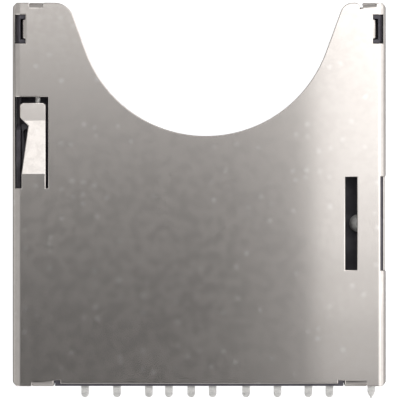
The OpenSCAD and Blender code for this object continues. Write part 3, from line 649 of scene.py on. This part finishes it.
def shoulder_height(tree):
    """Height of the sheet beside its side folds, in millimetres.

    It falls with the square of the distance past the shoulder's start, and evenly past its end. With u and v
    the distances past the start and the end, none below zero, it is (v * v - u * u) / 2 times the tilt over
    the width.
    """
    own = settings().sheet
    split = add(tree, "ShaderNodeSeparateXYZ", millimetres(tree))
    out = computed(tree, "ABSOLUTE", split.outputs["X"])
    start = (CAD_BOX[1][X] - own.shoulder_in) / MM
    width = own.shoulder_w / MM
    squares = []
    for place in (start, start + width):
        past = computed(tree, "MAXIMUM", computed(tree, "SUBTRACT", out, place), 0.0)
        squares.append(computed(tree, "MULTIPLY", past, past))
    fall = computed(tree, "SUBTRACT", squares[1], squares[0])
    return computed(tree, "MULTIPLY", fall, math.tan(own.shoulder_tilt) / (2 * width))


def steel_material():
    """Rolled stainless sheet: soft shoulders, slow waves, fine grain, pale patches and a few specks."""
    own = settings().sheet
    material, tree = new_material("rolled_steel")
    cloud = patches(tree, Scale=1.3, Low=0.4, High=0.6)
    smudge = patches(tree, Scale=0.6, Low=0.45, High=0.75)
    spot = specks(tree, Scale=1.1, Size=0.4, Share=0.3)
    base = mixed(tree, cloud, own.steel, own.pale)
    base = mixed(tree, smudge, base, own.pale, most=0.25)
    base = mixed(tree, spot, base, own.speck, most=0.38)
    shoulder = bumped(tree, shoulder_height(tree), MM)
    wave = bumped(tree, grain(tree, Scale=0.14), own.wave, Normal=shoulder)
    lines = grain(tree, Scale=9.0, Stretch=(1.0, 0.12, 1.0))
    return finished(
        material, Metallic=1.0, Specular_Tint=opaque([own.rim] * 3), Base_Color=base,
        Roughness=ranged(tree, cloud, own.rough, own.smooth),
        Normal=bumped(tree, lines, own.grain, Normal=wave)
    )


def moulded_material(name, base, flow, rough, flow_rough):
    """Filled black plastic: flow marks, an eroded mould texture and fine pale flecks of filler."""
    own = settings().moulding
    material, tree = new_material(name)
    marks = patches(tree, Scale=0.8, Low=0.42, High=0.64)
    fleck = specks(tree, Scale=7.0, Size=0.18, Share=0.25)
    body = mixed(tree, marks, base, flow)
    return finished(
        material, Base_Color=mixed(tree, fleck, body, own.filler, most=0.25),
        Roughness=ranged(tree, marks, rough, flow_rough),
        Normal=bumped(tree, grain(tree, Scale=11.0), own.texture)
    )


def strip_material():
    """Tinned strip: cloudy matt tin with drawn grain, gilt where the mesh says so."""
    own = settings().strip
    material, tree = new_material("tinned_strip")
    cloud = patches(tree, Scale=3.0, Low=0.4, High=0.64)
    gilt = add(tree, "ShaderNodeAttribute", attribute_name="gilt").outputs["Fac"]
    tin = mixed(tree, cloud, own.tin, own.dull_tin, most=0.5)
    lines = grain(tree, Scale=22.0, Stretch=(1.0, 0.2, 1.0))
    return finished(
        material, Metallic=1.0, Base_Color=mixed(tree, gilt, tin, own.gold),
        Roughness=ranged(tree, cloud, own.smooth, own.rough), Normal=bumped(tree, lines, own.grain)
    )


def wire_material():
    """Bright drawn wire: fine lines along the wire and slightly duller patches."""
    own = settings().gear
    material, tree = new_material("drawn_wire")
    cloud = patches(tree, Scale=2.2, Low=0.4, High=0.62)
    lines = grain(tree, Scale=26.0, Stretch=(1.0, 0.15, 1.0))
    return finished(
        material, Metallic=1.0, Base_Color=mixed(tree, cloud, own.wire, own.dull_wire, most=0.4),
        Roughness=ranged(tree, cloud, own.smooth, own.rough), Normal=bumped(tree, lines, own.grain)
    )


def tinned():
    """The finish of the contacts and of both switches."""
    return kept(bpy.data.materials, "tinned_strip", strip_material)


def bright():
    """The finish of the cam pin and of the spring."""
    return kept(bpy.data.materials, "drawn_wire", wire_material)


# Pieces

class SOCKET_OT_shell(bpy.types.Operator):
    """Folded steel sheet with its sheared edges rounded"""

    bl_idname = "card_socket.shell"
    bl_label = "Cover shell"

    def execute(self, context):
        mesh = rounded_copy("cover_shell", "shell_sheet", settings().sheet.edge, segments=3)
        even_normals(show("shell_sheet", mesh, "cover_shell", steel_material()))
        return {"FINISHED"}


class SOCKET_OT_base(bpy.types.Operator):
    """Black moulded base with its edges rounded"""

    bl_idname = "card_socket.base"
    bl_label = "Base"

    def execute(self, context):
        own = settings().moulding
        mesh = rounded_copy("housing", "base_moulding", own.edge, segments=2)
        black = moulded_material("black_moulding", own.black, own.flow, own.rough, own.flow_rough)
        even_normals(show("base_moulding", mesh, "housing", black))
        return {"FINISHED"}


def rear_wall():
    """Rear and front face of the wall behind the card."""
    rear = node_box("housing")[0][Y]
    return rear, rear + settings().strip.stop_wall


def tail_corners(tip):
    """Corners of a strip's line in YZ, from the tip of its tail to the end of its root."""
    own = settings().strip
    rear, stop = rear_wall()
    heel = rear - own.heel_out
    board = own.thickness / 2
    root = own.floor - own.thickness / 2
    return [[tip, board], [heel - own.heel_l, board], [heel, root], [stop + own.root_l, root]]


def tail_edges(y, tip, tail_x, root_x, root_w, end, blunt=0.1):
    """Left and right edge of a strip along Y: tail, set-over, root, then a taper to the given free end.

    end holds the free end's place along Y, its left edge and its right edge. The tail is drawn in to a half
    circle that is a little blunt at the tip.
    """
    own = settings().strip
    rear, stop = rear_wall()
    places = [rear + own.set_over, stop - own.set_over, stop + own.root_l, end[0]]
    radius = own.tail_w / 2
    root = root_w / 2
    left = [tail_x - radius, root_x - root, root_x - root, end[1]]
    right = [tail_x + radius, root_x + root, root_x + root, end[2]]
    half = np.maximum(round_end(y - tip, radius), blunt * radius)
    in_tip = y < tip + radius
    left = np.where(in_tip, tail_x - half, np.interp(y, places, left))
    right = np.where(in_tip, tail_x + half, np.interp(y, places, right))
    return left, right


def tail_samples(count=10):
    """Distances from a tail's tip that show its half circle well."""
    radius = settings().strip.tail_w / 2
    return radius * (1 - np.cos(np.linspace(0.0, math.pi / 2, count)))


def gilt_zone(free_end, zone_l, fade=0.15 * MM):
    """Gilding as a function of the points: 1 near the free end along Y, falling to 0 behind the zone."""
    return lambda points: np.clip((points[:, Y] - free_end + zone_l) / fade, 0.0, 1.0)


def show_strip(name, node, line, left, right, gilt_l):
    """Flat strip with a tail, between its two edges and inside its node's box, gilt at its free end."""
    own = settings().strip
    low, high = node_box(node)
    grid = strip_grid(line, left, right, own.thickness, own.edge, (Y, Z, X))
    mesh = grids_mesh(name, [np.clip(grid, low, high)], gilt_zone(high[Y], gilt_l))
    even_normals(show(name, mesh, node, tinned()))


# How far some tails are set over from their contacts
TAIL_SET = {"contact_3": 0.82 * MM, "contact_5": 0.12 * MM, "contact_6": 0.08 * MM}


class SOCKET_OT_contacts(bpy.types.Operator):
    """Nine signal contacts: flat tail, step, root in the base, and a sprung crown"""

    bl_idname = "card_socket.contacts"
    bl_label = "Contacts"

    def execute(self, context):
        own = settings().strip
        for node in CONTACTS:
            low, high = node_box(node)
            root_x = low[X] + own.root_w / 2
            tail_x = root_x + TAIL_SET.get(node, 0.0)
            crown = [high[Y] - own.crown_tip, own.floor + own.crown_h]
            tip = [high[Y], own.floor + own.tip_h]
            line = bent_path([*tail_corners(low[Y]), crown, tip], own.bend)
            line = refined(line, spacing=0.25 * MM, extra=tail_samples())
            end = (high[Y], root_x - own.tip_w / 2, root_x + own.tip_w / 2)
            left, right = tail_edges(line[:, 0], low[Y], tail_x, root_x, own.root_w, end)
            show_strip(f"{node}_strip", node, line, left, right, own.gilt_l)
        return {"FINISHED"}


class SOCKET_OT_card_switch(bpy.types.Operator):
    """Card switch: a short strip with an ear that closes onto the contact beside it"""

    bl_idname = "card_socket.card_switch"
    bl_label = "Card switch"

    def execute(self, context):
        own = settings().strip
        switch = settings().switch
        low, high = node_box("card_detect_spring")
        beam_x = low[X] + switch.beam_w / 2
        tail_x = beam_x + switch.tail_over
        top = high[Z] - own.thickness / 2 + switch.crown_lift
        crown = [high[Y] - switch.detect_tip, top]
        tip = [high[Y], top - switch.detect_drop]
        ear = high[Y] - switch.ear_l
        line = bent_path([*tail_corners(low[Y]), crown, tip], own.bend)
        line = refined(line, spacing=0.2 * MM, extra=tail_samples())
        end = (high[Y], beam_x - switch.beam_w / 2, beam_x + switch.beam_w / 2)
        left, right = tail_edges(line[:, 0], low[Y], tail_x, beam_x, switch.beam_w, end)
        right = right + (high[X] - end[2]) * np.clip((line[:, 0] - ear) / switch.ear_step, 0.0, 1.0)
        show_strip("card_switch_strip", "card_detect_spring", line, left, right, switch.ear_l)
        return {"FINISHED"}


def domed(grid, centre, radius, blend, line_x):
    """Strip grid with a bump pressed out towards -X.

    Where the sphere about the centre reaches past the strip's card side, which lies before its line, a point
    moves to the sphere with the smooth minimum of the two, x = min(a, b) - h * h / (4 * blend), where h is
    max(blend - |a - b|, 0).
    """
    x, y, z = grid[..., X], grid[..., Y], grid[..., Z]
    depth = radius ** 2 - (y - centre[Y]) ** 2 - (z - centre[Z]) ** 2
    ball = centre[X] - np.sqrt(np.maximum(depth, 0.0))
    overlap = np.maximum(blend - np.abs(x - ball), 0.0)
    moved = np.minimum(x, ball) - overlap ** 2 / (4 * blend)
    pressed = (x < line_x) & (depth > 0)
    shaped = grid.copy()
    shaped[..., X] = np.where(pressed, np.minimum(x, moved), x)
    return shaped


class SOCKET_OT_write_protect(bpy.types.Operator):
    """Write-protect switch: a strip on edge with a pressed bump, and a flat pointed tail"""

    bl_idname = "card_socket.write_protect"
    bl_label = "Write-protect switch"

    def execute(self, context):
        own = settings().strip
        switch = settings().switch
        low, high = node_box("write_protect_spring")
        rear, stop = rear_wall()
        bump = stop + switch.bump_y
        crest = low[X] + switch.bump_out
        rail = crest + switch.rail
        foot = high[Z] - switch.height

        # Blade on edge, with its bump
        line = bent_path([
            [rail, rear + switch.end_in],
            [rail, bump - switch.crest_l / 2 - switch.ramp_l],
            [crest, bump - switch.crest_l / 2],
            [crest, bump + switch.crest_l / 2],
            [crest + switch.arm_out, bump + switch.crest_l / 2 + switch.arm_l],
        ], own.bend)
        line = refined(line, spacing=0.09 * MM)
        ones = np.ones(len(line))
        blade = strip_grid(
            line, foot * ones, high[Z] * ones, own.thickness, own.edge, (X, Y, Z), face_steps=24
        )
        centre = (low[X] + switch.bump_r, bump, (foot + high[Z]) / 2)
        blade = np.clip(domed(blade, centre, switch.bump_r, switch.bump_blend, crest), low, high)

        # Web from the blade down to the tail
        web_line = refined(np.array([[rail, stop], [rail, stop + switch.root_l]]), spacing=0.3 * MM)
        ones = np.ones(len(web_line))
        web_foot = own.floor - own.thickness
        web = strip_grid(
            web_line, web_foot * ones, (foot + own.thickness) * ones, own.thickness, own.edge, (X, Y, Z)
        )

        # Flat tail, whose width grows with the sine of the way from its point
        corners = tail_corners(low[Y])
        corners[-1][0] = stop + switch.root_l
        tail_line = refined(bent_path(corners, own.bend), spacing=0.04 * MM)
        along = np.clip((tail_line[:, 0] - low[Y]) / switch.point_l, 0.0, 1.0)
        half = np.maximum(own.tail_w * np.sin(along * math.pi / 2), switch.point_w) / 2
        tail = strip_grid(tail_line, rail - half, rail + half, own.thickness, own.edge, (Y, Z, X))

        gilt = gilt_zone(high[Y], switch.gilt_l)
        mesh = grids_mesh("write_protect_strip", [blade, web, tail], gilt)
        even_normals(show("write_protect_strip", mesh, "write_protect_spring", tinned()))
        return {"FINISHED"}


class SOCKET_OT_slider(bpy.types.Operator):
    """Moulded slider with its edges rounded"""

    bl_idname = "card_socket.slider"
    bl_label = "Eject slider"

    def execute(self, context):
        own = settings().moulding
        mesh = rounded_copy("eject_slider", "slider_moulding", own.edge, segments=2)
        black = moulded_material(
            "slider_moulding", own.slider, own.slider_flow, own.slider_rough, own.slider_flow_rough
        )
        even_normals(show("slider_moulding", mesh, "eject_slider", black))
        return {"FINISHED"}


class SOCKET_OT_cam_pin(bpy.types.Operator):
    """Cam pin: a wire with both ends bent down"""

    bl_idname = "card_socket.cam_pin"
    bl_label = "Cam pin"

    def execute(self, context):
        own = settings().gear
        radius = own.pin_wire / 2
        low, high = node_box("cam_pin")
        top = high[Z] - radius
        pivot = high[:2] - radius
        tip = low[:2] + radius
        corners = [[*pivot, low[Z]], [*pivot, top], [*tip, top], [*tip, top - own.pin_tip]]
        line = bent_path(corners, own.pin_bend, steps=12)
        line = refined(line, spacing=0.3 * MM, extra=end_samples(line, own.end_round))
        run = unit(tip - pivot)
        across = np.tile([-run[1], run[0], 0.0], (len(line), 1))
        grid = tube_grid(line, across, wire_radius(line, radius, own.end_round), sides=24)
        mesh = grids_mesh("cam_pin_wire", [grid])
        show("cam_pin_wire", mesh, "cam_pin", bright())
        return {"FINISHED"}


# Stretches of the spring's line in each turn
TURN_STEPS = 40


class SOCKET_OT_eject_spring(bpy.types.Operator):
    """Eject spring: a helix with one closed turn at each end"""

    bl_idname = "card_socket.eject_spring"
    bl_label = "Eject spring"

    def execute(self, context):
        own = settings().gear
        low, high = node_box("eject_spring")
        wire = own.spring_wire
        middle = (low + high) / 2
        coil = (high[X] - low[X] - wire) / 2
        turn = np.linspace(0.0, own.turns, own.turns * TURN_STEPS + 1)
        span = high[Y] - low[Y] - wire
        rise = np.interp(turn, [0, 1, own.turns - 1, own.turns], [0, wire, span - wire, span])
        angle = 2 * math.pi * turn
        radial = np.stack([np.cos(angle), np.zeros_like(angle), np.sin(angle)], axis=1)
        line = np.array([middle[X], low[Y] + wire / 2, middle[Z]]) + coil * radial
        line[:, Y] += rise
        grid = tube_grid(line, radial, wire_radius(line, wire / 2, own.end_round), sides=12)
        mesh = grids_mesh("eject_spring_coil", [grid])
        piece = show("eject_spring_coil", mesh, "eject_spring", bright())
        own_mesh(piece)
        return {"FINISHED"}


# Stage

def floor_material():
    """White floor that keeps the object's shadow. It adds white in the picture, and less in reflections."""
    own = settings().stage
    material, tree = new_material("studio_floor")
    rays = add(tree, "ShaderNodeLightPath").outputs
    mirrored = computed(tree, "MAXIMUM", rays["Is Glossy Ray"], rays["Is Transmission Ray"])
    in_metal = ranged(tree, mirrored, 0.0, own.floor_mirror)
    in_picture = ranged(tree, rays["Is Camera Ray"], 0.0, own.floor_glow)
    return finished(
        material, Base_Color=opaque(own.floor), Roughness=own.floor_rough, Emission_Color=opaque(WHITE),
        Emission_Strength=computed(tree, "MAXIMUM", in_metal, in_picture)
    )


def build_floor(cells=8):
    """Flat floor under the lowest point of the object: a grid of square cells in X and Y."""
    half = settings().stage.floor_size / 2
    side = np.linspace(-half, half, cells + 1)
    x, y = np.meshgrid(side, side, indexing="ij")
    points = np.stack([x, y, np.full_like(x, CAD_BOX[0][Z])], axis=2).reshape(-1, 3)
    number = np.arange(len(points)).reshape(x.shape)
    faces = np.stack([number[:-1, :-1], number[1:, :-1], number[1:, 1:], number[:-1, 1:]], axis=2)
    mesh = bpy.data.meshes.new("studio_floor")
    mesh.from_pydata(points.tolist(), [], faces.reshape(-1, 4).tolist())
    mesh.materials.append(floor_material())
    floor = bpy.data.objects.new("studio_floor", mesh)
    bpy.context.scene.collection.objects.link(floor)


# Where the parts of the room begin and end, as shares of a ray's direction along X, Y or Z. Those of the
# rear's two sides are squared.
LEFT_WALL = (-0.12, -0.4)
RIGHT_WALL = (0.15, 0.5)
FRONT_WALL = (0.1, 0.3)
LAMPS_NEAR = (0.01, 0.1)
LAMPS_FAR = (0.16, 0.32)
REAR_WALL = (-0.12, -0.35)
REAR_SIDES = (0.2 ** 2, 0.4 ** 2)
REAR_LOW = (0.97, 0.6)


def build_world():
    """Plain room, given by the direction x, y, z that a ray leaves in.

    Its brightness is the largest of these: a dark level overhead and straight behind, a pale wall at the
    front, a field of lamps just in front of overhead and a white wall on the right. On the left a plain grey
    wall takes the place of them all. The rear is bright in its two corners, where x squared is large, and
    low down.
    """
    own = settings().stage
    world = bpy.data.worlds.new("studio_room")
    world.use_nodes = True
    tree = world.node_tree
    tree.nodes.clear()
    ray = add(tree, "ShaderNodeTexCoord").outputs["Generated"]
    x, y, z = add(tree, "ShaderNodeSeparateXYZ", ray).outputs
    front = ramp(tree, y, *FRONT_WALL, own.zenith, own.front)
    near_lamps = ramp(tree, y, *LAMPS_NEAR, 0.0, own.lamps)
    lamps = computed(tree, "MULTIPLY", near_lamps, ramp(tree, y, *LAMPS_FAR, 1.0, 0.0))
    right = ramp(tree, x, *RIGHT_WALL, 0.0, own.right)
    brightest = computed(tree, "MAXIMUM", computed(tree, "MAXIMUM", front, lamps), right)
    rest = computed(tree, "MULTIPLY", brightest, ramp(tree, x, *LEFT_WALL, 1.0, 0.0))
    walls = computed(tree, "ADD", rest, ramp(tree, x, *LEFT_WALL, 0.0, own.left))
    sides = ramp(tree, computed(tree, "MULTIPLY", x, x), *REAR_SIDES, 0.0, own.corners)
    rear = computed(tree, "MAXIMUM", sides, ramp(tree, z, *REAR_LOW, 0.0, own.rear))
    rear = computed(tree, "MULTIPLY", rear, ramp(tree, y, *REAR_WALL, 0.0, 1.0))
    strength = computed(tree, "MAXIMUM", walls, rear)
    room = result(tree, "ShaderNodeBackground", Color=opaque(WHITE), Strength=strength)
    add(tree, "ShaderNodeOutputWorld", Surface=room)
    bpy.context.scene.world = world


# How many low panels lie above each other
LOW_PANELS = 4


def build_panel(name, low, high, height, brightness):
    """Flat lamp that faces down, between two corners in X and Y.

    Its power is brightness * pi * area, which makes its face that bright.
    """
    lamp = bpy.data.lights.new(name, "AREA")
    lamp.shape = "RECTANGLE"
    lamp.size = high[X] - low[X]
    lamp.size_y = high[Y] - low[Y]
    lamp.energy = brightness * math.pi * lamp.size * lamp.size_y
    panel = bpy.data.objects.new(name, lamp)
    panel.location = ((low[X] + high[X]) / 2, (low[Y] + high[Y]) / 2, height)
    panel.visible_camera = False
    bpy.context.scene.collection.objects.link(panel)


# Nearest and farthest that the camera sees
CLIP = (0.01, 10.0)


def build_camera():
    """Camera straight above the plate, with the front edge of the socket at the top of the picture."""
    own = settings().stage
    data = bpy.data.cameras.new("camera")
    data.lens = data.sensor_width * own.camera_h / own.view_w
    data.clip_start, data.clip_end = CLIP
    camera = bpy.data.objects.new("camera", data)
    plate = CAD_BOX[1][Z]
    camera.location = (own.aim_x, own.aim_y, plate + own.camera_h)
    bpy.context.scene.collection.objects.link(camera)
    bpy.context.scene.camera = camera


class SOCKET_OT_stage(bpy.types.Operator):
    """Floor, room, soft panels on the right and the camera"""

    bl_idname = "card_socket.stage"
    bl_label = "Stage"

    def execute(self, context):
        own = settings().stage
        build_floor()
        build_world()
        near = (own.near_right, own.near_front)
        for k in range(LOW_PANELS):
            low_corner = (own.low_left, own.low_rear + k * own.low_step)
            height = own.low_height + k * own.low_rise
            build_panel(f"low_panel_{k + 1}", low_corner, near, height, own.low_panel / LOW_PANELS)
        front_corner = (own.front_left, own.front_rear)
        build_panel("front_panel", front_corner, near, own.front_height, own.front_panel)
        high_corners = (own.high_left, -own.reach), (own.reach, own.reach)
        build_panel("high_panel", *high_corners, own.high_height, own.high_panel)
        build_camera()
        context.scene.view_settings.view_transform = "Standard"
        return {"FINISHED"}


OPERATORS = (
    SOCKET_OT_shell,
    SOCKET_OT_base,
    SOCKET_OT_contacts,
    SOCKET_OT_card_switch,
    SOCKET_OT_write_protect,
    SOCKET_OT_slider,
    SOCKET_OT_cam_pin,
    SOCKET_OT_eject_spring,
    SOCKET_OT_stage,
)


class SOCKET_PT_panel(bpy.types.Panel):
    """Settings and steps of the card socket"""

    bl_idname = "SOCKET_PT_panel"
    bl_label = "Card socket"
    bl_space_type = "VIEW_3D"
    bl_region_type = "UI"
    bl_category = "Card socket"

    def draw(self, context):
        own = context.scene.card_socket
        for name in own.__annotations__:
            group = getattr(own, name)
            box = self.layout.box()
            box.label(text=own.bl_rna.properties[name].name)
            for key in group.__annotations__:
                box.prop(group, key)
        for operator in OPERATORS:
            self.layout.operator(operator.bl_idname)


CLASSES = (
    SheetSettings, MouldingSettings, StripSettings, SwitchSettings, GearSettings, StageSettings,
    SocketSettings, *OPERATORS, SOCKET_PT_panel,
)


def register():
    for cls in CLASSES:
        bpy.utils.register_class(cls)
    bpy.types.Scene.card_socket = bpy.props.PointerProperty(type=SocketSettings)


def unregister():
    del bpy.types.Scene.card_socket
    for cls in reversed(CLASSES):
        bpy.utils.unregister_class(cls)


def main():
    """Registers the classes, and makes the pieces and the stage."""
    register()
    for operator in OPERATORS:
        family, step = operator.bl_idname.split(".")
        getattr(getattr(bpy.ops, family), step)()


if __name__ == "__main__":
    main()
